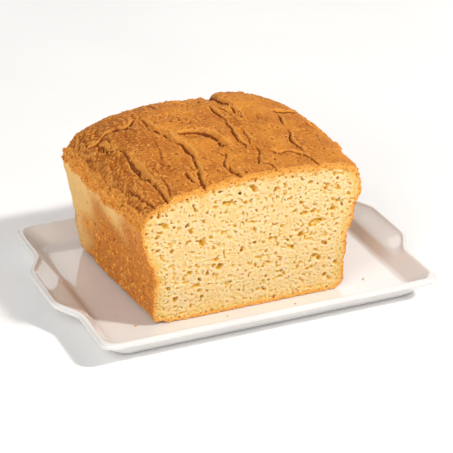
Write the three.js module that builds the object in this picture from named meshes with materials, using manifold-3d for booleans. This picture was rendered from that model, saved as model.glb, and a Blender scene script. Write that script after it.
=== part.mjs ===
// Half a tin loaf on a small porcelain serving tray.
//
// Units are millimetres and +Z is up. The origin is on the table, under the middle of the tray. The
// tray's long side lies along X, with a handle at each end, and the loaf's cut face looks along -Y.
//
// The loaf is modelled the way it is made: a whole loaf takes the shape of its tin, rises over the
// rim into a domed top, and is then cut across, a little askew. The piece that is kept is as long as
// the tray's floor has room for, which is half the loaf.

import * as THREE from "three";
import { mergeVertices } from "three/addons/utils/BufferGeometryUtils.js";
import Module from "manifold-3d";

const wasm = await Module();
wasm.setup();

const { clamp, degToRad, lerp, smoothstep } = THREE.MathUtils;

// ---- Serving tray ----
const TRAY_LENGTH = 200; // along X over the rim, without the handles
const TRAY_DEPTH = 152; // along Y over the rim
const TRAY_HEIGHT = 14;
const TRAY_FLOOR = 3.7; // top of the floor that the loaf stands on
const TRAY_CORNER = 8; // corner radius in plan
const WALL_LEAN = 11.5; // how far the wall leans out from foot to rim
const WALL_THICKNESS = 3; // square to the leaning wall
const RIM_ROLL = 1.9; // radius of the rolled rim
const RIM_OVERHANG = 0.8; // how far the roll stands out from the wall under it
const FLOOR_FILLET = 3; // inside, where the wall meets the floor
const FOOT_WIDTH = 5; // the ring that touches the table
const FOOT_RECESS = 0.8; // how far the base is lifted inside that ring
const HANDLE_REACH = 9; // how far each handle stands out from the rim
const HANDLE_FLAT = 42; // straight middle of the handle's edge
const HANDLE_LENGTH = 70; // where its curve has run back into the rim
const HANDLE_RISE = 4.5; // under the rim, where the wall starts to spread into the handle

// ---- Loaf, as it comes out of its tin ----
const TIN_BASE_WIDTH = 111.5;
const TIN_RIM_WIDTH = 124;
const TIN_BASE_LENGTH = 221;
const TIN_RIM_LENGTH = 230;
const TIN_DEPTH = 58; // the walls are straight up to here, and the dough rose past it
const WAIST_DEPTH = 3; // how far the sides have sunk in, half way up, at the middle of the loaf
const BASE_EDGE = 6; // radius round the bottom
const TIN_CORNER = 12; // radius of the tin's upright corners
const OVERHANG = 2; // how far the top crust stands out past the tin's rim
const SWELL_LEFT = 1; // more of it on each side, between the middle of the loaf and its end
const SWELL_RIGHT = 5;
const SHOULDER_HEIGHT = 64; // where the top crust starts
const CROWN_RISE = 15; // from the shoulder to the crown, at the middle of the loaf
const END_LIFT = 8.5; // the crown is this much higher towards the end of the loaf
const SIDE_TILT = 2.5; // the right side rose more than the left
const CROWN_FLATNESS = 3.6; // across the loaf: a higher power gives a flatter top
const END_FLATNESS = 9; // the same, along the loaf
const CROWN_EDGE = 0.6; // a lower power gives a steeper edge all round the crown

// ---- Where the loaf stands on the tray, and its cut ----
const LOAF_TURN = 3.5; // degrees, seen from above
const CUT_MIDDLE_X = -2.5; // middle of the cut face
const FRONT_FLOOR = 16.067; // from the foot of the tray's front wall to the cut face
const BACK_FLOOR = 1.173; // from the loaf's end to the foot of the back wall
const RESTING_GAP = 0.3; // between the loaf and the tray's floor
const STUMP = 20; // in front of the cut, modelled so that the cut has something to cut

// ---- How finely the shapes are cut up ----
// The loaf is a box of cells whose vertices are moved onto the loaf's surface.
const CELLS_ACROSS = 24;
const CELLS_ALONG = 22;
const CELLS_UP = 12;
const CORNER_STEPS = 6; // round each corner of the tray
const HANDLE_STEPS = 6; // along each curve of a handle
const WALL_STEPS = 6; // up the tray's wall, on each face
const RIM_STEPS = 8;
const FILLET_STEPS = 4;

// ---- Helpers ----

// A closed geometry as a manifold-3d solid.
function solidOf(geometry) {
  const bare = new THREE.BufferGeometry();
  bare.setAttribute("position", geometry.getAttribute("position"));
  bare.setIndex(geometry.getIndex());
  const merged = mergeVertices(bare);
  return new wasm.Manifold(
    new wasm.Mesh({
      numProp: 3,
      vertProperties: merged.attributes.position.array,
      triVerts: new Uint32Array(merged.index.array),
    }),
  );
}

function geometryOf(solid) {
  const { vertProperties, triVerts } = solid.getMesh();
  const geometry = new THREE.BufferGeometry();
  geometry.setAttribute("position", new THREE.BufferAttribute(vertProperties, 3));
  geometry.setIndex(new THREE.BufferAttribute(triVerts, 1));
  geometry.computeVertexNormals();
  return geometry;
}

// A closed skin over rings of points, with a flat fan over the first and the last ring.
function loft(rings) {
  const count = rings[0].length;
  const points = rings.flat();
  const triangles = [];
  for (let r = 0; r + 1 < rings.length; r++) {
    for (let i = 0; i < count; i++) {
      const next = (i + 1) % count;
      const [a, b, c, d] = [r * count + i, r * count + next, (r + 1) * count + i, (r + 1) * count + next];
      triangles.push(a, b, d, a, d, c);
    }
  }
  const fan = (first, flip) => {
    const ring = points.slice(first, first + count);
    const hub = points.push(ring.reduce((sum, p) => sum.add(p), new THREE.Vector3()).divideScalar(count)) - 1;
    for (let i = 0; i < count; i++) {
      const edge = [first + i, first + ((i + 1) % count)];
      triangles.push(hub, ...(flip ? edge.reverse() : edge));
    }
  };
  fan(0, true);
  fan((rings.length - 1) * count, false);
  const geometry = new THREE.BufferGeometry().setFromPoints(points);
  geometry.setIndex(triangles);
  geometry.computeVertexNormals();
  return geometry;
}

// ---- Serving tray ----

// 1 along the straight middle of a handle's edge, 0 from where it has run back into the rim.
function handleShare(y) {
  return 1 - smoothstep(Math.abs(y), HANDLE_FLAT / 2, HANDLE_LENGTH / 2);
}

// The tray's outline at one height: a rectangle with round corners, set in from the rim, whose short
// sides bulge outwards into the handles.
function trayOutline(inset, height, flare) {
  const halfX = TRAY_LENGTH / 2 - inset;
  const coreX = halfX - TRAY_CORNER;
  const coreY = TRAY_DEPTH / 2 - inset - TRAY_CORNER;
  const points = [];
  for (const [quarter, sx, sy] of [[0, 1, 1], [1, -1, 1], [2, -1, -1], [3, 1, -1]]) {
    for (let i = 0; i <= CORNER_STEPS; i++) {
      const angle = ((quarter + i / CORNER_STEPS) * Math.PI) / 2;
      points.push(new THREE.Vector2(TRAY_CORNER, 0).rotateAround(new THREE.Vector2(), angle));
      points.at(-1).add(new THREE.Vector2(sx * coreX, sy * coreY));
    }
    if (quarter % 2 === 0) continue; // the next side is a long one, and straight
    for (const half of [1, -1]) {
      for (let i = 0; i <= HANDLE_STEPS; i++) {
        const share = half > 0 ? i / HANDLE_STEPS : 1 - i / HANDLE_STEPS;
        const y = half * sy * lerp(HANDLE_LENGTH / 2, HANDLE_FLAT / 2, share);
        points.push(new THREE.Vector2(sx * halfX, y));
      }
    }
  }
  return points.map((p) => {
    const bulge = flare * HANDLE_REACH * handleShare(p.y);
    return new THREE.Vector3(p.x + Math.sign(p.x) * bulge, p.y, height);
  });
}

// Where the inside of the wall would meet the floor without its fillet, as distance in from the rim.
function wallFoot() {
  const lean = Math.atan2(TRAY_HEIGHT - RIM_ROLL, WALL_LEAN - RIM_OVERHANG);
  return WALL_LEAN + WALL_THICKNESS / Math.sin(lean) - TRAY_FLOOR / Math.tan(lean);
}

// The tray's section through a wall, as distance in from the rim and height: from the underside,
// over the foot, up the outside, round the rolled rim and down to the floor. Each point also says
// how far it follows the handle outwards there.
function traySection() {
  const footInner = WALL_LEAN + FOOT_WIDTH;
  const rollMiddle = TRAY_HEIGHT - RIM_ROLL;
  const innerFoot = wallFoot();
  const wall = (from, to) => {
    const line = new THREE.LineCurve(new THREE.Vector2(...from), new THREE.Vector2(...to));
    return line.getPoints(WALL_STEPS);
  };
  const roll = new THREE.Path().absarc(RIM_ROLL, rollMiddle, RIM_ROLL, degToRad(235), degToRad(45), true);
  const rollPoints = roll.getPoints(RIM_STEPS);
  const fillet = new THREE.Path();
  fillet.moveTo(innerFoot - FLOOR_FILLET / 2, TRAY_FLOOR + FLOOR_FILLET / 2);
  fillet.quadraticCurveTo(innerFoot, TRAY_FLOOR, innerFoot + FLOOR_FILLET, TRAY_FLOOR);
  const filletPoints = fillet.getPoints(FILLET_STEPS);
  const undercut = [RIM_OVERHANG + RIM_ROLL / 2, rollMiddle - RIM_ROLL];
  const outside = [
    new THREE.Vector2(footInner + FOOT_RECESS, FOOT_RECESS),
    new THREE.Vector2(footInner, 0),
    new THREE.Vector2(WALL_LEAN + FOOT_RECESS / 2, 0),
    ...wall([WALL_LEAN - FOOT_RECESS / 2, FOOT_RECESS], undercut),
  ];
  const inside = wall(rollPoints.at(-1).toArray(), filletPoints[0].toArray()).slice(1, -1);
  const followed = (points, top) =>
    points.map((p) => ({ inset: p.x, height: p.y, flare: smoothstep(p.y, top - HANDLE_RISE, top) }));
  return [
    ...followed(outside, undercut[1]),
    ...followed(rollPoints, 0),
    ...followed([...inside, ...filletPoints], rollPoints.at(-1).y),
  ];
}

function servingTray() {
  return loft(traySection().map(({ inset, height, flare }) => trayOutline(inset, height, flare)));
}

// ---- Loaf ----

// Half the loaf's width and half its length at one height, with the bottom edge rounded. The width
// also changes across and along the loaf, which are given as shares of its half width and length.
function halfSizesAt(height, across, along) {
  const taper = Math.min(height / TIN_DEPTH, 1);
  const overhang = OVERHANG * smoothstep(height, TIN_DEPTH / 2, SHOULDER_HEIGHT) ** 2;
  const sunk = WAIST_DEPTH * Math.sin(taper * Math.PI) ** 2 * (1 - smoothstep(along, 0.3, 0.9));
  const swell = lerp(SWELL_LEFT, SWELL_RIGHT, (across + 1) / 2) * Math.sin(clamp(along, 0, 1) * Math.PI);
  const fromEdge = Math.max(BASE_EDGE - height, 0);
  const rounding = BASE_EDGE - Math.sqrt(BASE_EDGE ** 2 - fromEdge ** 2);
  return [
    lerp(TIN_BASE_WIDTH, TIN_RIM_WIDTH, taper) / 2 + overhang - rounding - sunk + swell * taper ** 2,
    lerp(TIN_BASE_LENGTH, TIN_RIM_LENGTH, taper) / 2 + overhang - rounding,
  ];
}

// Moves a point of a rectangle so that the rectangle's square corners become round.
function roundCorners(point, halfX, halfY, radius) {
  const core = new THREE.Vector2(halfX - radius, halfY - radius);
  const inner = new THREE.Vector2(clamp(point.x, -core.x, core.x), clamp(point.y, -core.y, core.y));
  const offset = point.clone().sub(inner);
  if (offset.x === 0 || offset.y === 0) return point;
  const reach = Math.max(Math.abs(offset.x), Math.abs(offset.y));
  return inner.add(offset.setLength(reach));
}

// The crown over the shoulder, for a point given as shares of the half width and half length.
function crownHeight(across, along) {
  const cross = (1 - Math.abs(across) ** CROWN_FLATNESS) ** CROWN_EDGE;
  const end = (1 - Math.abs(along) ** END_FLATNESS) ** CROWN_EDGE;
  const lift = END_LIFT * smoothstep(along, 0, 0.75);
  return (CROWN_RISE + lift) * cross * end;
}

// Brings evenly spaced shares, from -1 to 1, closer together towards both ends.
function crowd(share) {
  return lerp(share, Math.sin((share * Math.PI) / 2), 0.6);
}

// Where the middle of the cut face stands.
function cutY() {
  return wallFoot() + FRONT_FLOOR - TRAY_DEPTH / 2;
}

// The length of the base from the cut to the baked end, along the loaf.
function keptLength() {
  return (TRAY_DEPTH / 2 - wallFoot() - BACK_FLOOR - cutY()) / Math.cos(degToRad(LOAF_TURN));
}

// A point of the unit box, each coordinate from -0.5 to 0.5, moved onto the loaf. The loaf stands on
// z = 0 with the middle of the whole loaf at the origin.
function ontoLoaf(unit) {
  const across = crowd(unit.x * 2);
  const up = (crowd(unit.z * 2) + 1) / 2;
  const height = up * SHOULDER_HEIGHT;
  const pastMiddle = STUMP + keptLength() - TIN_BASE_LENGTH / 2;
  const along = lerp(-pastMiddle / (TIN_BASE_LENGTH / 2), 1, crowd(unit.y + 0.5));
  const [halfWidth, halfLength] = halfSizesAt(height, across, along);
  const flat = new THREE.Vector2(across * halfWidth, along * halfLength);
  const plan = roundCorners(flat, halfWidth, halfLength, TIN_CORNER);
  const crown = unit.z === 0.5 ? crownHeight(across, along) : 0;
  return new THREE.Vector3(plan.x, plan.y, height + crown + SIDE_TILT * across * up);
}

// Everything in front of the cut, as one big block.
function otherHalf() {
  const size = 2 * TIN_RIM_LENGTH;
  const block = new THREE.BoxGeometry(size, size, size);
  block.translate(CUT_MIDDLE_X, cutY() - size / 2, 0);
  return solidOf(block);
}

function halfLoaf() {
  const whole = new THREE.BoxGeometry(1, 1, 1, CELLS_ACROSS, CELLS_ALONG, CELLS_UP);
  const position = whole.getAttribute("position");
  const point = new THREE.Vector3();
  for (let i = 0; i < position.count; i++) {
    point.copy(ontoLoaf(point.fromBufferAttribute(position, i)));
    position.setXYZ(i, ...point);
  }
  whole.translate(0, keptLength() - TIN_BASE_LENGTH / 2, 0);
  whole.rotateZ(degToRad(LOAF_TURN));
  whole.translate(CUT_MIDDLE_X, cutY(), TRAY_FLOOR + RESTING_GAP);
  return geometryOf(solidOf(whole).subtract(otherHalf()));
}

// ---- Assembly ----

const crust = new THREE.MeshStandardMaterial({ color: 0xc98239, roughness: 0.75, metalness: 0 });
const porcelain = new THREE.MeshStandardMaterial({ color: 0xf1eeea, roughness: 0.15, metalness: 0 });

function named(name, geometry, material) {
  const mesh = new THREE.Mesh(geometry, material);
  mesh.name = name;
  return mesh;
}

const tinLoafOnTray = new THREE.Group();
tinLoafOnTray.add(named("serving_tray", servingTray(), porcelain));
tinLoafOnTray.add(named("loaf", halfLoaf(), crust));

export default tinLoafOnTray;
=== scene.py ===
import math
from itertools import product

import bmesh
import bpy
import numpy as np
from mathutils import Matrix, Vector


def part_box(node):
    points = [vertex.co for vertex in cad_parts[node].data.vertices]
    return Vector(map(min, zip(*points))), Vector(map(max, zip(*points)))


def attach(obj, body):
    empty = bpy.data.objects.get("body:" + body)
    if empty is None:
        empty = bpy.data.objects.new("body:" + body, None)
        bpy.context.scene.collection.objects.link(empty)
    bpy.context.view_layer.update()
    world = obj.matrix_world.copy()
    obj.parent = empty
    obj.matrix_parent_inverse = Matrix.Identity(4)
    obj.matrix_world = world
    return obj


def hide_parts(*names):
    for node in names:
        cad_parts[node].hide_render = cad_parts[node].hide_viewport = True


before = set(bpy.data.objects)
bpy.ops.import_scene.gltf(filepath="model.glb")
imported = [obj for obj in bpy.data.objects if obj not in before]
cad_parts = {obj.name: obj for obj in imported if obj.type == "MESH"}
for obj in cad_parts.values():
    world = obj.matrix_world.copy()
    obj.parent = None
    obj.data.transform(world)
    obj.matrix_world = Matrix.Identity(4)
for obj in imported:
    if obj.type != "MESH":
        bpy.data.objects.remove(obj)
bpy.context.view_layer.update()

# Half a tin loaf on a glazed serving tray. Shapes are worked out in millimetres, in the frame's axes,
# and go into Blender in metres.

import openvdb
from mathutils import Matrix, Vector

MM = 0.001

# ---- The loaf's own directions, as in the CAD model ----
LOAF_TURN = math.radians(3.5)
CUT_MIDDLE_X = -2.5
LOAF_LOW, LOAF_HIGH = (np.array(corner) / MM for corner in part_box("loaf"))
CUT_Y = LOAF_LOW[1]
ACROSS = np.array([math.cos(LOAF_TURN), math.sin(LOAF_TURN), 0])
ALONG = np.array([-math.sin(LOAF_TURN), math.cos(LOAF_TURN), 0])
SHOULDER_HEIGHT = 64
SIDE_TILT = 2.5
SHOULDER_X = 64
EDGE_OVER_SHOULDER = 4  # the top crust's edge, on average
TORN_BAND = 10  # how far the torn band reaches down from there

# ---- How finely the loaf is modelled ----
ROUGH_STEP = 0.6  # cells of the plain loaf, before its crust has relief
FINE_STEP = 0.4
ROUGH_REACH = 6  # of the distances kept inside the surface
FINE_REACH = 7
OUTER_BAND = 12  # the same outside, in cells, which is more than the crust's relief
ROUGH_MARGIN = 8  # round the loaf's box
FINE_MARGIN = 4
FRONT_MARGIN = 1.5
FACET_BLUR = 1.5  # which rounds off the CAD model's facets
LIP_SLANT = 0.4  # of the overhanging lips, across over down
RIDGE_BLUR = 1.2  # against which ridges and hollows stand out
STUB = 12  # of the other half, so that the crust's relief runs on through the cut

# Cracks and folds of the top crust: depth, width of the sloping side, and points across and along the
# loaf from the middle of the cut. Looking along the points, the crust on the right ends in a rounded,
# overhanging lip, and on the left it slopes up out of the crack.
CRACKS = [
    (2.9, 5.5, [(-56, 85), (-54, 74), (-51, 62), (-50, 50), (-49, 38), (-48, 26), (-48, 14), (-50, -8)]),
    (0.6, 4.5, [(-44, 36), (-43, 25), (-44, 15), (-47, 5), (-49, -8)]),
    (2.9, 5.0, [(-31, 89), (-28, 80), (-26, 71), (-22, 62), (-22, 54), (-19, 46), (-19, 38), (-21, 28),
                (-26, 12), (-29, -8)]),
    (3.4, 7.5, [(-19, 58), (-12, 57), (-5, 56), (-1, 53), (1, 47), (1, 40), (3, 34)]),
    (2.2, 2.5, [(-2, 31), (-4, 26), (-8, 20), (-8, 13)]),
    (2.8, 2.5, [(-6, 18), (-7, 10), (-7, 4), (-9, -8)]),
    (2.2, 4.0, [(13, 82), (13, 72), (14, 62), (13, 54), (12, 46), (10, 38), (11, 31), (7, 28)]),
    (1.7, 2.0, [(16, 79), (18, 70), (19, 60), (18, 52), (17, 44), (15, 36), (12, 28)]),
    (3.6, 4.5, [(32, 122), (28, 108), (25, 97), (23, 88), (24, 80), (23, 72), (24, 64), (23, 56)]),
    (1.4, 2.5, [(47, 62), (46, 54), (43, 46), (42, 38), (39, 30), (38, 22), (38, 12)]),
    (1.9, 4.0, [(14, 30), (16, 24), (13, 18), (9, 12), (3, 9), (-3, 10), (-7, 14)]),
    (2.8, 3.5, [(9, 12), (12, 8), (13, 4), (13, -8)]),
    (1.7, 3.0, [(-63, 87), (-56, 83), (-49, 84), (-43, 83), (-38, 80), (-33, 83), (-30, 90)]),
    (1.6, 3.0, [(3, 81), (-5, 81), (-11, 79), (-18, 75), (-26, 73)]),
    (2.0, 3.0, [(46, 66), (52, 63), (61, 64)]),
    (1.5, 3.0, [(56, 48), (60, 42), (63, 35)]),
    (0.9, 4.0, [(-60, 36), (-59, 24), (-57, 10), (-56, -8)]),
    (2.6, 2.0, [(-30, 21), (-29, 16), (-29, 10)]),
    (1.5, 3.0, [(18, 24), (24, 18), (32, 17), (38, 9), (39, -8)]),
]

# Holes in the top crust and the larger pores of the cut face, each as two places and two radii:
# across and along the loaf, and X and height over the loaf's base.
CRUST_HOLES = [
    (-57, 63, 1.3, 1.6), (-47, 52, 0.9, 1.2), (-54, 90, 1.6, 1.2), (-27, 72, 1.6, 2.0), (-22, 62, 1.2, 1.6),
    (-22, 53, 0.9, 1.4), (-15, 14, 0.9, 1.1), (-12, 14, 0.7, 0.9), (-5, 75, 1.1, 1.0), (-9, 76, 0.9, 0.8),
    (7, 33, 1.1, 0.8), (34, 44, 1.0, 2.0), (34, 32, 0.7, 0.8), (24, 65, 1.4, 1.6), (24, 74, 1.3, 1.8),
    (26, 85, 1.6, 1.4), (27, 31, 0.7, 1.3), (-55, 73, 1.1, 1.4), (-52, 70, 1.0, 1.3), (48, 20, 0.8, 0.8),
]
LARGE_PORES = [
    (-54, 58, 1.5, 2.0), (-51, 47, 1.9, 1.2), (-33, 45, 1.7, 2.2), (-20, 48, 2.1, 1.2), (28, 51, 2.2, 1.7),
    (34, 44, 2.7, 1.6), (34, 23, 2.5, 1.7), (32, 37, 1.3, 0.8), (43, 38, 1.2, 1.0), (45, 47, 1.5, 0.8),
    (-23, 28, 1.9, 1.9), (-27, 33, 2.8, 0.6), (-37, 19, 2.2, 1.3), (-42, 22, 2.0, 1.1), (-48, 23, 1.8, 0.7),
    (-54, 33, 1.5, 0.8), (-41, 46, 1.4, 1.0), (-46, 55, 1.2, 1.0), (-18, 64, 2.0, 0.6), (13, 18, 2.4, 0.7),
    (15, 32, 1.8, 0.7), (24, 41, 1.9, 0.9), (28, 38, 1.8, 0.8), (34, 55, 2.0, 0.5), (47, 65, 2.4, 0.5),
    (22, 53, 1.5, 1.1), (-9, 37, 1.2, 0.9), (40, 53, 0.5, 2.0), (-3, 51, 1.4, 0.9), (11, 39, 1.1, 1.5),
    (-54, 25, 0.6, 2.2), (-24, 23, 1.0, 1.7), (4, 24, 2.0, 0.6), (-25, 64, 1.3, 0.9), (16, 65, 1.3, 0.9),
    (-56, 41, 1.6, 0.9), (12, 21, 1.2, 0.9), (-14, 51, 1.3, 1.0), (21, 74, 1.6, 0.9), (-38, 58, 1.4, 0.6),
]

HOLE_DEPTH = 1.8  # of the holes in the top crust

# The small pores of the cut face stand on an uneven grid. Each is two ellipsoids that overlap.
PORE_SPACING = 2.3
PORE_SHIFT = 1
PORE_RADIUS = 0.54
PORE_SPREAD = 0.42
PORE_LARGEST = 1.4
PORE_SMALLEST = 0.25
PORE_SHARE = 0.35  # of the way to the crust, at most
PORE_LOBES = 2
LARGE_PORE_LOBES = 7


# ---- Numbers ----


def smooth(value, low, high):
    """0 at low, 1 at high and an easy curve between."""
    share = np.clip((value - low) / (high - low), 0, 1)
    return share * share * (3 - 2 * share)


def bump(value, middle, width):
    """1 at middle, falling away to about 0 at twice the width from it."""
    return np.exp(-(((value - middle) / width) ** 2))


class Noise:
    """Smooth random values, from about -1 to 1, that change over a given distance."""

    CELLS = 32

    def __init__(self, seed):
        directions = np.random.default_rng(seed).normal(size=(self.CELLS,) * 3 + (3,))
        self.directions = directions / np.linalg.norm(directions, axis=-1, keepdims=True)

    def __call__(self, points, size):
        place = points / size
        cell = np.floor(place).astype(int)
        part = place - cell
        ease = part * part * (3 - 2 * part)
        total = np.zeros(len(points))
        for corner in product((0, 1), repeat=3):
            weight = np.prod(np.where(corner, ease, 1 - ease), axis=1)
            direction = self.directions[tuple(((cell + corner) % self.CELLS).T)]
            total += weight * ((part - corner) * direction).sum(axis=1)
        return 2 * total

    def rough(self, points, size, layers):
        """Several sizes of noise on top of each other, each half the size and strength of the last."""
        return sum(self(points + 7.3 * i, size / 2**i) / 2**i for i in range(layers))


class Volume:
    """A block of cells holding the distance to a surface, in millimetres, negative inside."""

    def __init__(self, cells, first, step):
        self.cells, self.first, self.step = cells, first, step

    @classmethod
    def of_mesh(cls, points, faces, step, low, high, reach):
        """From a closed mesh, with distances that are right up to reach from its surface."""
        kind = "quads" if faces.shape[1] == 4 else "triangles"
        grid = openvdb.FloatGrid.createLevelSetFromPolygons(
            points.astype(np.float32),
            transform=openvdb.createLinearTransform(voxelSize=step),
            exBandWidth=float(OUTER_BAND),
            inBandWidth=reach / step,
            **{kind: faces.astype(np.uint32)},
        )
        first = np.floor(np.asarray(low) / step).astype(int)
        last = np.ceil(np.asarray(high) / step).astype(int)
        cells = np.zeros(last - first, np.float32)
        grid.copyToArray(cells, ijk=tuple(int(i) for i in first))
        return cls(cells, first, step)

    def copy(self):
        return Volume(self.cells.copy(), self.first, self.step)

    def surface(self):
        """Points and four-sided faces, which face outwards."""
        edge = 3 * self.step
        grid = openvdb.FloatGrid(edge)
        grid.transform = openvdb.createLinearTransform(voxelSize=self.step)
        grid.copyFromArray(self.cells.clip(-edge, edge), ijk=tuple(int(i) for i in self.first))
        points, quads = grid.convertToQuads()
        return points.astype(float), quads.astype(int)

    def at(self, points):
        """The distance at each point."""
        place = points / self.step - self.first
        cell = np.clip(place.astype(int), 0, np.array(self.cells.shape) - 2)
        part = place - cell
        total = np.zeros(len(points))
        for corner in product((0, 1), repeat=3):
            weight = np.prod(np.where(corner, part, 1 - part), axis=1)
            total += weight * self.cells[tuple((cell + corner).T)]
        return total

    def blur(self, reach):
        """Rounds off small facets and edges with a moving average along each axis."""
        count = max(round(reach / self.step), 1)
        width = 2 * count + 1
        for axis in range(3):
            margin = [(count + 1, count) if a == axis else (0, 0) for a in range(3)]
            total = np.cumsum(np.pad(self.cells, margin, mode="edge"), axis=axis, dtype=float)
            ends = [np.moveaxis(total, axis, 0)[part] for part in (slice(width, None), slice(None, -width))]
            self.cells = np.moveaxis((ends[0] - ends[1]) / width, 0, axis).astype(np.float32)

    def stamp(self, centre, radii, turn=0.0, grow=False):
        """Cuts an ellipsoid out of the solid, or adds it. It is turned about Y."""
        radii = np.asarray(radii, float)
        reach = radii.max() + self.step
        low = np.floor((centre - reach) / self.step).astype(int) - self.first
        high = np.ceil((centre + reach) / self.step).astype(int) - self.first + 1
        low, high = np.clip(low, 0, self.cells.shape), np.clip(high, 0, self.cells.shape)
        if (high <= low).any():
            return
        lines = [
            (np.arange(low[a], high[a]) + self.first[a]) * self.step - centre[a] for a in range(3)
        ]
        x, y, z = np.meshgrid(*lines, indexing="ij", sparse=True)
        c, s = math.cos(turn), math.sin(turn)
        reached = np.sqrt(
            ((c * x + s * z) / radii[0]) ** 2 + (y / radii[1]) ** 2 + ((c * z - s * x) / radii[2]) ** 2
        )
        inside = ((1 - reached) * radii.min()).astype(np.float32)
        block = self.cells[low[0] : high[0], low[1] : high[1], low[2] : high[2]]
        if grow:
            np.minimum(block, -inside, out=block)
        else:
            np.maximum(block, inside, out=block)


def curve_through(points, spacing):
    """A smooth curve through a few points, as many points at about an even spacing."""
    points = np.asarray(points, float)
    ends = np.vstack([2 * points[0] - points[1], points, 2 * points[-1] - points[-2]])
    made = []
    for a, b, c, d in zip(ends, ends[1:], ends[2:], ends[3:]):
        count = max(int(np.linalg.norm(c - b) / spacing), 1)
        t = np.arange(count)[:, None] / count
        made.append(
            b
            + t * (c - a) / 2
            + t**2 * (a - 2.5 * b + 2 * c - d / 2)
            + t**3 * (1.5 * b - 1.5 * c + (d - a) / 2)
        )
    return np.vstack([*made, points[-1:]])


# ---- The loaf's shape ----


def cad_mesh(node):
    """A CAD node's points, in millimetres, and its triangles."""
    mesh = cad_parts[node].data
    mesh.calc_loop_triangles()
    points = np.empty(len(mesh.vertices) * 3, np.float32)
    mesh.vertices.foreach_get("co", points)
    triangles = np.empty(len(mesh.loop_triangles) * 3, np.int32)
    mesh.loop_triangles.foreach_get("vertices", triangles)
    return points.reshape(-1, 3) / MM, triangles.reshape(-1, 3)


def in_loaf(points):
    """How far points lie across and along the loaf from the middle of the cut, and over its base."""
    offset = points - [CUT_MIDDLE_X, CUT_Y, LOAF_LOW[2]]
    return offset @ ACROSS, offset @ ALONG, offset[:, 2]


def plain_loaf():
    """The loaf with no relief, running on a little past the cut."""
    points, triangles = cad_mesh("loaf")
    points[points[:, 1] < CUT_Y + 0.01] -= ALONG * STUB
    low = LOAF_LOW - ROUGH_MARGIN - [0, STUB, 0]
    loaf = Volume.of_mesh(points, triangles, ROUGH_STEP, low, LOAF_HIGH + ROUGH_MARGIN, ROUGH_REACH)
    for _ in range(2):
        loaf.blur(FACET_BLUR)
    return loaf


def crack_relief(u, v, noise, places):
    """Height that the cracks give to places u across and v along the top crust."""
    ragged = 0.9 * noise(places, 13) + 0.3 * noise(places + 50, 3.5) + 0.15 * noise(places + 70, 1.3)
    here = np.stack([u + ragged, v + 0.8 * noise(places + 90, 4)], axis=1)
    vary = np.clip(1 + 1.3 * noise(places + 20, 11), 0.2, 2)
    lowest, raised = np.zeros(len(u)), np.zeros(len(u))
    for depth, slope, corners in CRACKS:
        curve = curve_through(corners, 1.2)
        low, high = curve.min(axis=0) - slope - 4, curve.max(axis=0) + slope + 4
        near = np.nonzero(((here > low) & (here < high)).all(axis=1))[0]
        best, side, share = np.full(len(near), 1e9), np.ones(len(near)), np.zeros(len(near))
        for i, (start, end) in enumerate(zip(curve, curve[1:])):
            step = end - start
            part = np.clip((here[near] - start) @ step / (step @ step), 0, 1)
            offset = here[near] - start - part[:, None] * step
            distance = np.hypot(*offset.T)
            closer = distance < best
            best[closer] = distance[closer]
            side[closer] = np.sign(step[0] * offset[closer, 1] - step[1] * offset[closer, 0])
            share[closer] = (i + part[closer]) / (len(curve) - 1)
        d = best * -side
        fade = smooth(share, 0, 0.16) * (1 - smooth(share, 0.84, 1) * (curve[-1][1] > 0))
        fade *= 0.45 + 0.55 * smooth(v[near], -1, 9)
        rise = 1 - 0.55 * smooth(d, 0.15, 0.9) - 0.45 * smooth(d, 0.6, slope + 3)
        drop = np.where(d < 0, smooth(d, -0.6, 0), rise)
        lowest[near] = np.minimum(lowest[near], -depth * fade * vary[near] * drop)
        lip = np.where(d < 0, bump(d, -4, 5), 0) * smooth(-d, -0.4, 2.6)
        raised[near] += 0.7 * lip * fade * min(depth / 3, 1)
    return lowest + raised


def top_relief(u, v):
    """Height of the top crust over its plain shape, at places u across and v along the loaf."""
    noise = Noise(1)
    places = np.stack([u, v, np.zeros(len(u))], axis=1)
    drawn = places * [1, 0.4, 1]
    rough = 1 + 0.5 * (1 - smooth(u + 3 * noise(places + 11, 9), -57, -47)) + 0.7 * smooth(v, 84, 92)
    rough += 0.3 * smooth(u, 46, 54)
    relief = crack_relief(u, v, noise, places)
    relief += 1.0 * noise(places + 5, 27) + 0.5 * noise(drawn + 40, 8) + 0.25 * noise(places + 47, 5)
    crease = bump(noise(drawn + 61, 9), 0, 0.06) * smooth(noise(places + 64, 17), 0, 0.5)
    relief -= 0.5 * crease * rough
    grains = 0.2 * noise(drawn + 80, 3) + 0.2 * noise(places + 81, 2) + 0.12 * noise(places + 83, 1.1)
    relief += rough * grains
    relief -= rough * 0.8 * smooth(noise(places + 17, 2.4), 0.6, 1)
    # the back's right half is lower, the right edge is puffed up and lumpy, and the left edge draws back
    relief -= smooth(v, 76, 96) * (1.8 * smooth(u, 0, 22) - 0.3)
    relief += smooth(u, 48, 58) * (1.5 + 0.9 * noise(places + 53, 7)) * (1 - smooth(v, 62, 80))
    relief -= 2.6 * (1 - smooth(u, -70, -60))
    return relief + 0.2


def top_edge(u, v):
    """Height over the base where the top crust ends and the sides begin."""
    places = np.stack([u, v, np.zeros(len(u))], axis=1)
    noise = Noise(4)
    level = SHOULDER_HEIGHT + SIDE_TILT * u / SHOULDER_X + EDGE_OVER_SHOULDER
    return level + 1.7 * noise(places, 11) + 0.9 * noise(places + 30, 3.5)


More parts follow.
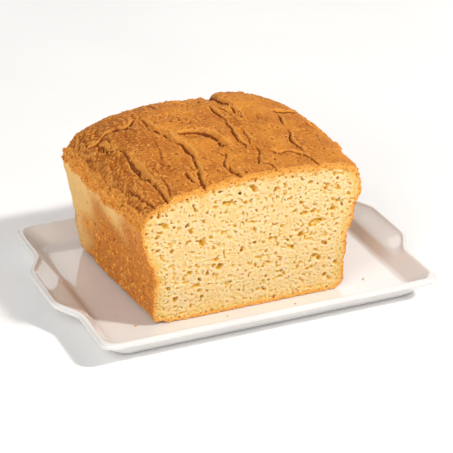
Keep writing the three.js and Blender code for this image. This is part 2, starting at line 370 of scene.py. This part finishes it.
def fold_top(loaf):
    """Gives the top crust its relief. Lips hang a little over the cracks beside them."""
    columns = np.indices(loaf.cells.shape[:2]).reshape(2, -1).T + loaf.first[:2]
    places = np.column_stack([columns * loaf.step, np.zeros(len(columns))])
    u, v, _ = in_loaf(places)
    relief = top_relief(u, v).reshape(loaf.cells.shape[:2])
    edge = top_edge(u, v).reshape(relief.shape) + LOAF_LOW[2]
    last, rows = relief.shape[0] - 1, np.arange(relief.shape[1])[None]
    own = np.arange(relief.shape[0])[:, None]
    for k in range(loaf.cells.shape[2]):
        share = smooth((k + loaf.first[2]) * loaf.step, edge - 0.5, edge + 1)
        if not share.any():
            continue
        cells = loaf.cells[:, :, k]
        from_i = np.clip(own - LIP_SLANT * np.clip(cells, -5, 2) / loaf.step, 0, last - 1)
        i = from_i.astype(int)
        part = from_i - i
        slanted = relief[i, rows] * (1 - part) + relief[i + 1, rows] * part
        loaf.cells[:, :, k] = cells - slanted * share


def crust_zones(points):
    """How much each point belongs to the top crust, to the torn band under it and to the smooth,
    pale part of a side, which also gets a painted highlight, from 0 to 1."""
    noise = Noise(2)
    u, v, height = in_loaf(points)
    edge = top_edge(u, v)
    top = smooth(height, edge - 0.4, edge + 0.6)
    torn = (1 - top) * smooth(height, edge - TORN_BAND + 2 * noise(points + 60, 6), edge - TORN_BAND + 2)
    # the sides are paler where they reach high and at the back corners, and there they also get a painted
    # highlight
    corner = smooth(v + 9 * noise(points + 50, 14), 66, 102) * smooth(abs(u), 36, 56)
    reach = height + 0.3 * np.minimum(v, 70) * (1 - smooth(v, 98, 106))
    reach += 40 * corner + 11 * noise(points + 10, 18)
    # the foot of a side near the cut is paler too
    foot = 0.6 * (1 - smooth(height, 1, 5)) * (1 - smooth(v, 10, 60))
    pale_and_highlit = np.maximum((1 - top) * (1 - torn) * smooth(reach, 47, 76), foot)
    return top, torn, pale_and_highlit


def rough_sides(loaf):
    """The plain loaf's surface with its sides moved out and in to make their lumps, pits and torn bands."""
    points, quads = loaf.surface()
    slopes = [np.gradient(loaf.cells, axis=a) for a in range(3)]
    normal = np.stack([Volume(s, loaf.first, loaf.step).at(points) for s in slopes], axis=1)
    normal /= np.linalg.norm(normal, axis=1, keepdims=True)
    noise = Noise(6)
    _, v, height = in_loaf(points)
    top, torn, pale_and_highlit = crust_zones(points)
    upright = points * [1, 1, 0.5]
    relief = 0.7 * noise(points + 25, 18) + 0.5 * noise(points + 35, 6)
    pitted = (1 - torn) * (1 - 0.8 * pale_and_highlit)
    relief -= pitted * 2.6 * np.maximum(noise(upright + 15, 2.9) - 0.36, 0)
    relief -= pitted * 1.3 * np.maximum(noise(points * [1, 0.7, 0.45] + 65, 7) - 0.3, 0)
    relief += torn * (0.8 * noise.rough(points + 45, 3.2, 3) - 0.2)
    # the left side is fuller than the plain one, most of all low down, and the right side is lumpy
    left, right = smooth(-normal[:, 0], 0.3, 0.9), smooth(normal[:, 0], 0.3, 0.9)
    relief += left * (0.5 + 2.5 * (1 - smooth(height, 44, 66)))
    relief += right * (0.6 + 0.9 * noise(points + 75, 8))
    relief *= (1 - top) * smooth(height, 0.5, 3)
    return points + normal * relief[:, None], quads


def open_pores(loaf, crust):
    """Cuts the crumb's pores into the cut face."""
    random = np.random.default_rng(7)
    tear_crumb(loaf, crust)
    xs = np.arange(LOAF_LOW[0], LOAF_HIGH[0], PORE_SPACING)
    zs = np.arange(LOAF_LOW[2], LOAF_HIGH[2], PORE_SPACING)
    grid = np.array([(x, z) for x in xs for z in zs])
    grid += random.uniform(-PORE_SHIFT, PORE_SHIFT, grid.shape)
    places = np.column_stack([grid[:, 0], np.full(len(grid), CUT_Y), grid[:, 1]])
    for (x, y, z), inside in zip(places, -crust.at(places)):
        size = random.lognormal(math.log(PORE_RADIUS), PORE_SPREAD)
        size = min(size, PORE_LARGEST, PORE_SHARE * inside)
        if size < PORE_SMALLEST:
            continue
        for _ in range(PORE_LOBES):
            stretch = random.uniform(0.7, 1.5)
            nudge = random.normal(0, 0.5, 3) * size
            radii = (size * stretch, size * random.uniform(0.8, 1.4), size / stretch)
            loaf.stamp(np.array([x, y, z]) + nudge, radii, random.normal(0, 0.6))
    for x, height, wide, tall in LARGE_PORES:
        centre = np.array([x, CUT_Y, LOAF_LOW[2] + height])
        for _ in range(LARGE_PORE_LOBES):
            nudge = random.normal(0, 0.42, 3) * [wide, 0.8, tall]
            radii = np.array([wide, 1.3 * min(wide, tall) + 0.5, tall]) * random.uniform(0.45, 0.8)
            loaf.stamp(centre + nudge, radii, random.normal(0, 0.4))


def tear_crumb(loaf, crust):
    """Makes the cut face uneven, with small irregular hollows that join up."""
    noise = Noise(8)
    first = round((CUT_Y - 1) / loaf.step) - loaf.first[1]
    rows = slice(first, first + round(5 / loaf.step))
    block = loaf.cells[:, rows]
    places = (np.indices(block.shape).reshape(3, -1).T + loaf.first + [0, first, 0]) * loaf.step
    open_ = noise(places * [0.8, 0.8, 1] + 3, 2.6) + 0.6 * noise(places + 13, 1.3)
    open_ += 0.25 * noise(places + 23, 9)
    kept = smooth(-crust.cells[:, rows].ravel(), 0.6, 3.4)
    deep = smooth(places[:, 1] - CUT_Y, 0.2, 1.8)
    hollow = (1.2 * (open_ - 0.9) - 1.5 * deep - 2 * (1 - kept)).reshape(block.shape)
    lumps = 0.3 * noise(places + 43, 2.6) + 0.2 * noise(places + 53, 1.2)
    uneven = (0.15 * noise(places + 33, 1.6) + (1 - kept) * lumps).reshape(block.shape)
    np.maximum(block + uneven, hollow, out=block)


def surface_height(loaf, across, along):
    """The point of the top crust over a place across and along the loaf."""
    place = np.array([CUT_MIDDLE_X, CUT_Y, 0]) + across * ACROSS + along * ALONG
    last = np.array(loaf.cells.shape[:2]) - 1
    i, j = (np.round(place[:2] / loaf.step).astype(int) - loaf.first[:2]).clip(0, last)
    inside = np.nonzero(loaf.cells[i, j] < 0)[0]
    if len(inside) == 0:
        return None
    return np.array([place[0], place[1], (inside[-1] + loaf.first[2] + 0.5) * loaf.step])


def pit_crust(loaf):
    """Holes and blisters of the top crust, and the pits of the sides."""
    random = np.random.default_rng(11)
    for across, along, wide, tall in CRUST_HOLES:
        centre = surface_height(loaf, across, along)
        if centre is not None:
            loaf.stamp(centre, (wide, tall, HOLE_DEPTH))
    points, _ = loaf.surface()
    points = points[points[:, 1] > CUT_Y]
    top, torn, pale_and_highlit = crust_zones(points)
    height = in_loaf(points)[2]
    above = smooth(height, 1, 4)
    coarse = 1 - smooth(points[:, 0], -56, -44)
    side = (1 - top) * (1 - torn) * (1 - 0.85 * pale_and_highlit)
    # how likely at each point, how many, their usual radius, how tall at most, and whether they stand out
    groups = [
        (top * (1 + coarse), 600, 0.4, 1.2, True),
        (top * (1 + 2 * coarse), 420, 0.45, 1.5, False),
        (side * (1.3 - smooth(height, 20, 60)), 2400, 0.62, 2.2, False),
        (torn, 1500, 0.72, 1.5, False),
        (torn, 800, 0.5, 1.3, True),
    ]
    for chance, count, size, tall, grow in groups:
        likely = chance * above
        for point in points[random.choice(len(points), count, replace=False, p=likely / likely.sum())]:
            radius = random.lognormal(math.log(size), 0.35)
            loaf.stamp(point, (radius, radius, radius * random.uniform(0.9, tall)), grow=grow)


def make_loaf():
    plain = plain_loaf()
    points, quads = rough_sides(plain)
    low = LOAF_LOW - [FINE_MARGIN, FRONT_MARGIN, FINE_MARGIN]
    loaf = Volume.of_mesh(points, quads, FINE_STEP, low, LOAF_HIGH + FINE_MARGIN, FINE_REACH)
    fold_top(loaf)
    crust = loaf.copy()
    pit_crust(loaf)
    beyond_cut = CUT_Y - (np.arange(loaf.cells.shape[1]) + loaf.first[1]) * loaf.step
    np.maximum(loaf.cells, beyond_cut[None, :, None].astype(np.float32), out=loaf.cells)
    open_pores(loaf, crust)
    points, quads = loaf.surface()
    loaf.blur(RIDGE_BLUR)

    top, torn, pale_and_highlit = crust_zones(points)
    facts = {
        "depth": np.maximum(-crust.at(points), 0),
        # how far each point sinks under the plain loaf, which darkens cracks and dents as painted shade
        "sunk_for_shade": -plain.at(points),
        # how far each point stands out of the blurred surface, for painted shade in hollows and painted
        # highlights on ridges
        "ridge": loaf.at(points),
        "pore": np.maximum(points[:, 1] - CUT_Y, 0),
        "top": top,
        "torn": torn,
        "pale_and_highlit": pale_and_highlit,
    }
    piece = add_piece("loaf_bread", points, quads, facts)
    piece.data.materials.append(bread_material())
    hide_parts("loaf")


# ---- Pieces ----


def add_piece(name, points, faces, facts=None):
    """A smooth mesh from points in millimetres, riding on the only body, with a value per point."""
    mesh = bpy.data.meshes.new(name)
    mesh.vertices.add(len(points))
    mesh.vertices.foreach_set("co", (np.asarray(points) * MM).astype(np.float32).ravel())
    sides = faces.shape[1]
    mesh.loops.add(faces.size)
    mesh.loops.foreach_set("vertex_index", faces.astype(np.int32).ravel())
    mesh.polygons.add(len(faces))
    mesh.polygons.foreach_set("loop_start", np.arange(0, faces.size, sides, dtype=np.int32))
    mesh.update(calc_edges=True)
    mesh.validate()
    mesh.shade_smooth()
    for fact, values in (facts or {}).items():
        layer = mesh.attributes.new(fact, "FLOAT", "POINT")
        layer.data.foreach_set("value", values.astype(np.float32))
    piece = bpy.data.objects.new(name, mesh)
    bpy.context.scene.collection.objects.link(piece)
    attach(piece, "root")
    return piece


# ---- Materials ----


class Nodes:
    """Builds one material's node tree."""

    def __init__(self, name):
        self.material = bpy.data.materials.new(name)
        self.material.use_nodes = True
        self.tree = self.material.node_tree
        self.shader = self.tree.nodes["Principled BSDF"]

    def add(self, kind, settings=None, **inputs):
        node = self.tree.nodes.new(kind)
        for key, value in (settings or {}).items():
            setattr(node, key, value)
        for key, value in inputs.items():
            self.put(node, key.replace("_", " "), value)
        return node

    def put(self, node, socket, value):
        socket = int(socket) if str(socket).isdigit() else socket
        if isinstance(value, bpy.types.NodeSocket):
            self.tree.links.new(value, node.inputs[socket])
        else:
            node.inputs[socket].default_value = value

    def math(self, operation, *values):
        node = self.add("ShaderNodeMath", {"operation": operation})
        for i, value in enumerate(values):
            self.put(node, i, value)
        return node.outputs[0]

    def fact(self, name):
        return self.add("ShaderNodeAttribute", {"attribute_name": name}).outputs["Fac"]

    def between(self, value, low, high):
        node = self.add("ShaderNodeMapRange", {"interpolation_type": "SMOOTHSTEP"}, Value=value)
        node.inputs["From Min"].default_value = low
        node.inputs["From Max"].default_value = high
        return node.outputs[0]

    def noise(self, size_mm, detail=2.0, stretch=(1, 1, 1), seed=0.0):
        """Noise from 0 to 1 whose features are about this many millimetres across."""
        place = self.add("ShaderNodeTexCoord").outputs["Object"]
        scaled = self.add("ShaderNodeMapping")
        self.put(scaled, "Vector", place)
        scaled.inputs["Scale"].default_value = stretch
        scaled.inputs["Location"].default_value = (seed, seed, seed)
        place = scaled.outputs[0]
        node = self.add("ShaderNodeTexNoise", Scale=1 / (size_mm * MM), Detail=detail, Vector=place)
        return node.outputs[0]

    def mix(self, share, first, second):
        node = self.add("ShaderNodeMix", {"data_type": "RGBA"})
        self.put(node, 0, share)
        for socket, colour in ((6, first), (7, second)):
            self.put(node, socket, colour if isinstance(colour, bpy.types.NodeSocket) else linear(colour))
        return node.outputs[2]

    def bumps(self, *layers):
        """Bump from (height, distance in millimetres) layers, small over large."""
        normal = None
        for height, distance in layers:
            node = self.add("ShaderNodeBump", Height=height, Distance=distance * MM)
            if normal:
                self.put(node, "Normal", normal)
            normal = node.outputs[0]
        self.put(self.shader, "Normal", normal)


def linear(colour):
    """A colour given as 0 to 255 in sRGB, as Blender's linear RGBA."""
    share = np.array(colour) / 255
    return (*np.where(share < 0.04045, share / 12.92, ((share + 0.055) / 1.055) ** 2.4), 1)


def bread_material():
    m = Nodes("bread")
    mottle = m.noise(14, 3)
    grain = m.noise(1.6, 3, seed=3)
    fine = m.noise(0.5, 2, seed=5)
    speck = m.between(m.noise(1.1, 1, seed=9), 0.73, 0.77)
    ridge = m.fact("ridge")
    # ridge gives how far a point stands out of the blurred surface: hollow picks its hollows for painted
    # shade, raised its ridges for painted highlights
    hollow = m.between(ridge, -0.04, -0.3)
    raised = m.between(ridge, 0.03, 0.22)

    place = m.add("ShaderNodeTexCoord").outputs["Object"]
    left = m.between(m.add("ShaderNodeSeparateXYZ", Vector=place).outputs[0], -20 * MM, -60 * MM)
    top = m.mix(m.between(mottle, 0.3, 0.7), (182, 102, 22), (214, 134, 38))
    top = m.mix(m.math("MULTIPLY", left, 0.6), top, (162, 84, 16))
    top = m.mix(m.math("MULTIPLY", m.between(grain, 0.45, 0.75), 0.4), top, (224, 148, 56))
    # Darker brown down in the cracks: partly painted shade, partly a darker crust
    top = m.mix(m.math("MULTIPLY", m.between(m.fact("sunk_for_shade"), 1.2, 3.6), 0.85), top, (150, 70, 8))
    # Painted shade in the top crust's hollows
    top = m.mix(m.math("MULTIPLY", hollow, 0.8), top, (124, 56, 8))
    # Lighter ridges: painted highlight, and a drier crust
    top = m.mix(m.math("MULTIPLY", raised, 0.6), top, (234, 162, 74))
    top = m.mix(m.math("MULTIPLY", speck, 0.7), top, (246, 206, 140))

    side = m.mix(m.between(grain, 0.35, 0.65), (198, 118, 40), (214, 134, 54))
    # Darker where the side sinks in and lighter where it stands out: painted shade
    side = m.mix(m.math("MULTIPLY", m.between(m.fact("sunk_for_shade"), -0.9, 0.9), 0.6), side, (188, 98, 24))
    # Paler crust where the side reaches high and at the back corners, with a painted highlight there
    side = m.mix(m.math("MULTIPLY", m.fact("pale_and_highlit"), 0.85), side, (247, 204, 130))
    torn = m.mix(m.between(fine, 0.4, 0.6), (204, 118, 28), (240, 168, 74))
    side = m.mix(m.math("MULTIPLY", m.fact("torn"), 0.85), side, torn)
    # Painted shade in the side's hollows, weaker on the pale parts
    hollow_shade_share = m.math("SUBTRACT", 0.8, m.math("MULTIPLY", m.fact("pale_and_highlit"), 0.55))
    side = m.mix(m.math("MULTIPLY", hollow, hollow_shade_share), side, (138, 58, 6))
    # Painted highlight on the side's ridges
    side = m.mix(m.math("MULTIPLY", raised, 0.1), side, (240, 180, 100))
    crust = m.mix(m.fact("top"), side, top)

    crumb = m.mix(m.between(m.noise(9, 2, seed=7), 0.35, 0.65), (242, 223, 179), (247, 235, 205))
    crumb = m.mix(m.between(m.fact("depth"), 14, 3), crumb, (230, 190, 106))
    # Painted highlight on the crumb's raised edges
    crumb = m.mix(m.math("MULTIPLY", raised, 0.3), crumb, (250, 238, 208))
    # Pores too small to model, painted as yellow spots that stand for their shade
    tiny_shaded_pore = m.between(m.noise(0.75, 1, seed=12), 0.6, 0.66)
    crumb = m.mix(m.math("MULTIPLY", tiny_shaded_pore, 0.35), crumb, (236, 190, 96))
    # Painted shade in the crumb's hollows, tinted yellow
    crumb = m.mix(m.math("MULTIPLY", hollow, 0.6), crumb, (242, 200, 104))
    # Yellower and then darker down in the pores: painted shade, with the yellow of light scattered in the
    # crumb painted in
    crumb = m.mix(m.between(m.fact("pore"), 0.3, 1.6), crumb, (239, 188, 80))
    crumb = m.mix(m.math("MULTIPLY", m.between(m.fact("pore"), 0.9, 2.6), 0.8), crumb, (196, 140, 34))
    thick = m.math("SUBTRACT", 2.0, m.fact("top"))
    depth = m.math("MULTIPLY", m.fact("depth"), thick)
    depth = m.math("ADD", depth, m.math("MULTIPLY", m.math("SUBTRACT", grain, 0.5), 5.0))
    baked = m.mix(m.between(fine, 0.4, 0.6), (218, 138, 40), (246, 184, 92))
    rim = m.mix(m.between(depth, 0.5, 1.2), crust, baked)
    rim = m.mix(m.between(depth, 2.2, 5.6), rim, crumb)
    m.put(m.shader, "Base Color", rim)
    m.put(m.shader, "Roughness", m.math("ADD", 0.6, m.math("MULTIPLY", grain, 0.3)))
    m.shader.inputs["Specular IOR Level"].default_value = 0.3
    m.put(m.shader, "Subsurface Weight", m.math("MULTIPLY", m.between(depth, 1.5, 5.0), 0.5))
    m.shader.inputs["Subsurface Radius"].default_value = (1.0, 0.5, 0.2)
    m.shader.inputs["Subsurface Scale"].default_value = 1.0 * MM
    m.bumps((m.noise(1.3, 3, seed=2), 0.6), (fine, 0.3))
    return m.material


def porcelain_material():
    m = Nodes("porcelain")
    tone = m.between(m.noise(45, 2), 0.3, 0.7)
    m.put(m.shader, "Base Color", m.mix(tone, (226, 223, 220), (232, 229, 226)))
    m.put(m.shader, "Roughness", m.math("ADD", 0.05, m.math("MULTIPLY", m.noise(6, 2, seed=4), 0.05)))
    m.shader.inputs["IOR"].default_value = 1.6
    m.bumps((m.noise(22, 1, seed=6), 0.12), (m.noise(3, 1, seed=8), 0.008))
    return m.material


def floor_material():
    m = Nodes("floor")
    tone = m.between(m.noise(120, 2), 0.3, 0.7)
    m.put(m.shader, "Base Color", m.mix(tone, (249, 249, 249), (252, 252, 252)))
    m.put(m.shader, "Roughness", m.math("ADD", 0.8, m.math("MULTIPLY", m.noise(40, 2, seed=2), 0.1)))
    return m.material


# ---- Tray ----

TRAY_HIGH = np.array(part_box("serving_tray")[1]) / MM
TRAY_CORNER = 8
WALL_LEAN = 11.5
WALL_THICKNESS = 3
RIM_ROLL = 1.9
RIM_OVERHANG = 0.8
TRAY_FLOOR = 3.7
FLOOR_FILLET = 3
FOOT_WIDTH = 5
FOOT_RECESS = 0.8
HANDLE_REACH = 9
HANDLE_FLAT = 32
HANDLE_LENGTH = 80
HANDLE_RISE = 4.5


def arc(centre, radius, start, end, count):
    """Points round an arc, with angles in degrees."""
    angle = np.radians(np.linspace(start, end, count))
    return np.asarray(centre) + radius * np.column_stack([np.cos(angle), np.sin(angle)])


def tray_section():
    """The tray's wall in section, as distance in from the rim and height, from under the foot over the
    rim to the floor, and how far each point follows the handles outwards."""
    height = TRAY_HIGH[2]
    roll_middle = height - RIM_ROLL
    lean = math.atan2(roll_middle, WALL_LEAN - RIM_OVERHANG)
    foot = WALL_LEAN + WALL_THICKNESS / math.sin(lean) - TRAY_FLOOR / math.tan(lean)
    undercut = np.array([RIM_OVERHANG + RIM_ROLL / 2, roll_middle - RIM_ROLL])
    roll = arc((RIM_ROLL, roll_middle), RIM_ROLL, 235, 45, 22)
    t = np.linspace(0, 1, 9)[:, None]
    fillet = (1 - t) ** 2 * [foot - FLOOR_FILLET / 2, TRAY_FLOOR + FLOOR_FILLET / 2]
    fillet = fillet + 2 * t * (1 - t) * [foot, TRAY_FLOOR] + t**2 * [foot + FLOOR_FILLET, TRAY_FLOOR]
    ring = np.array([WALL_LEAN + FOOT_WIDTH, 0])
    base = [
        ring + [FOOT_RECESS + 0.6, FOOT_RECESS],
        ring + [FOOT_RECESS, FOOT_RECESS * 0.9],
        ring + [0.2, 0.05],
        ring + [-0.1, 0],
        [WALL_LEAN + 0.9, 0],
        [WALL_LEAN + 0.2, 0.12],
    ]
    outside = np.linspace([WALL_LEAN - 0.6, 0.9], undercut, 16)
    inside = np.linspace(roll[-1], fillet[0], 18)[1:-1]
    lower, upper = np.vstack([base, outside]), np.vstack([inside, fillet])

    def flare(points, top):
        return smooth(points[:, 1], top - HANDLE_RISE, top)

    points = np.vstack([lower, roll, upper])
    flares = np.concatenate([flare(lower, undercut[1]), np.ones(len(roll)), flare(upper, roll[-1][1])])
    return points, flares


def tray_outline(inset):
    """The tray's outline, a rectangle with round corners, set in from the rim."""
    half = np.array([TRAY_HIGH[0] - HANDLE_REACH - inset, TRAY_HIGH[1] - inset])
    core = half - TRAY_CORNER
    sides = np.linspace(core[1], -core[1], 90)[1:-1]
    top = np.linspace(core[0], -core[0], 60)[1:-1]
    return np.vstack([
        arc(core, TRAY_CORNER, 0, 90, 14),
        np.column_stack([top, np.full(len(top), half[1])]),
        arc(core * [-1, 1], TRAY_CORNER, 90, 180, 14),
        np.column_stack([np.full(len(sides), -half[0]), sides]),
        arc(-core, TRAY_CORNER, 180, 270, 14),
        np.column_stack([-top, np.full(len(top), -half[1])]),
        arc(core * [1, -1], TRAY_CORNER, 270, 360, 14),
        np.column_stack([np.full(len(sides), half[0]), -sides]),
    ])


def make_tray():
    section, flares = tray_section()
    rings = []
    for (inset, height), flare in zip(section, flares):
        outline = tray_outline(inset)
        share = 1 - smooth(abs(outline[:, 1]), HANDLE_FLAT / 2, HANDLE_LENGTH / 2)
        outline[:, 0] += np.sign(outline[:, 0]) * flare * HANDLE_REACH * share
        rings.append(np.column_stack([outline, np.full(len(outline), height)]))
    # the base and the floor run in to the middle over a few more rings
    inwards = [0.9, 0.7, 0.45, 0.2, 0.02]
    rings = [rings[0] * [s, s, 1] for s in inwards[::-1]] + rings + [rings[-1] * [s, s, 1] for s in inwards]
    count = len(rings[0])
    first = np.arange(count)
    following = (first + 1) % count
    strips = [
        np.column_stack([first, following, following + count, first + count]) + r * count
        for r in range(len(rings) - 1)
    ]
    tray = add_piece("serving_tray_glazed", np.vstack(rings), np.vstack(strips))
    close_ends(tray)
    tray.data.materials.append(porcelain_material())
    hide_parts("serving_tray")


def close_ends(piece):
    """Fills the open loops of a mesh."""
    work = bmesh.new()
    work.from_mesh(piece.data)
    bmesh.ops.holes_fill(work, edges=[e for e in work.edges if e.is_boundary])
    bmesh.ops.recalc_face_normals(work, faces=work.faces)
    for face in work.faces:
        face.smooth = True
    work.to_mesh(piece.data)
    work.free()


# ---- Crumbs ----

# Places of the loose crumbs on the tray's floor and their sizes.
CRUMBS = [
    (72, 8, 0.7), (70, -2, 0.5), (66, -22, 0.6), (60, -30, 0.45), (58, -38, 0.6), (62, -12, 0.4),
    (-70, -44, 0.5), (-76, -30, 0.4), (20, -55, 0.4), (76, 24, 0.4), (68, -44, 0.5), (-20, -53, 0.35),
]


def make_crumbs():
    """Loose crumbs, each a small ragged lump."""
    random = np.random.default_rng(5)
    noise = Noise(9)
    points, faces, count = [], [], 0
    for x, y, size in CRUMBS:
        ball = bmesh.new()
        bmesh.ops.create_icosphere(ball, subdivisions=3, radius=1)
        shape = np.array([v.co[:] for v in ball.verts])
        shape *= (1 + 0.45 * noise(shape + random.uniform(0, 90), 0.7))[:, None]
        shape *= size * random.uniform(0.8, 1.2, 3)
        shape[:, 2] -= shape[:, 2].min()
        points.append(shape + [x, y, TRAY_FLOOR])
        faces.append(np.array([[v.index for v in f.verts] for f in ball.faces]) + count)
        count += len(shape)
        ball.free()
    crumbs = add_piece("crumbs", np.vstack(points), np.vstack(faces))
    m = Nodes("crumb")
    baked = m.mix(m.between(m.noise(0.8, 2), 0.4, 0.6), (204, 134, 56), (244, 214, 140))
    m.put(m.shader, "Base Color", baked)
    m.put(m.shader, "Roughness", m.math("ADD", 0.6, m.math("MULTIPLY", m.noise(0.5), 0.3)))
    m.bumps((m.noise(0.4, 2, seed=1), 0.1))
    crumbs.data.materials.append(m.material)


# ---- Floor, light and camera ----

FLOOR_HALF = 2000
FLOOR_DROP = 0.05  # under the tray's foot
FLOOR_CELLS = 8

# The camera's direction and roll in degrees, the rest in metres.
CAMERA_AZIMUTH = -24.061
CAMERA_ELEVATION = 26.459
CAMERA_ROLL = 0.558
CAMERA_DISTANCE = 1.0662
CAMERA_TARGET = (0.00256, 0, 0.02965)
CAMERA_LENS = 149.67  # millimetres, on a sensor of the usual width
SENSOR_WIDTH = 36


def make_floor():
    count = FLOOR_CELLS + 1
    line = np.linspace(-FLOOR_HALF, FLOOR_HALF, count)
    points = np.array([(x, y, -FLOOR_DROP) for y in line for x in line])
    first = np.array([j * count + i for j in range(FLOOR_CELLS) for i in range(FLOOR_CELLS)])
    faces = np.column_stack([first, first + 1, first + count + 1, first + count])
    floor = add_piece("floor", points, faces)
    floor.data.materials.append(floor_material())


def direction(azimuth, elevation):
    """Away from the object, with azimuth 0 towards -Y and 90 towards +X, in degrees."""
    a, e = math.radians(azimuth), math.radians(elevation)
    return Vector((math.sin(a) * math.cos(e), -math.cos(a) * math.cos(e), math.sin(e)))


def add_light(name, azimuth, elevation, distance, size, power, colour):
    light = bpy.data.lights.new(name, "AREA")
    light.size = size
    light.energy = power
    light.color = colour
    lamp = bpy.data.objects.new(name, light)
    away = direction(azimuth, elevation)
    lamp.location = away * distance
    lamp.rotation_euler = away.to_track_quat("Z", "Y").to_euler()
    bpy.context.scene.collection.objects.link(lamp)


def light_scene():
    add_light("key", 54, 44, 2.4, 0.2, 40, (1.0, 0.97, 0.93))
    add_light("fill", -50, 32, 2.2, 1.4, 26, (1.0, 0.99, 0.97))
    add_light("back", 156, 18, 2.4, 1.6, 10, (1.0, 1.0, 1.0))
    world = bpy.data.worlds.new("studio")
    world.use_nodes = True
    world.node_tree.nodes["Background"].inputs["Color"].default_value = (1.0, 0.99, 0.98, 1)
    world.node_tree.nodes["Background"].inputs["Strength"].default_value = 0.35
    bpy.context.scene.world = world
    bpy.context.scene.view_settings.view_transform = "Standard"


def add_camera():
    data = bpy.data.cameras.new("camera")
    data.sensor_width = SENSOR_WIDTH
    data.lens = CAMERA_LENS
    camera = bpy.data.objects.new("camera", data)
    away = direction(CAMERA_AZIMUTH, CAMERA_ELEVATION)
    place = Matrix.Translation(Vector(CAMERA_TARGET) + away * CAMERA_DISTANCE)
    aim = away.to_track_quat("Z", "Y").to_matrix().to_4x4()
    camera.matrix_world = place @ aim @ Matrix.Rotation(math.radians(CAMERA_ROLL), 4, "Z")
    bpy.context.scene.collection.objects.link(camera)
    bpy.context.scene.camera = camera


add_camera()
light_scene()
make_floor()
make_tray()
make_loaf()
make_crumbs()
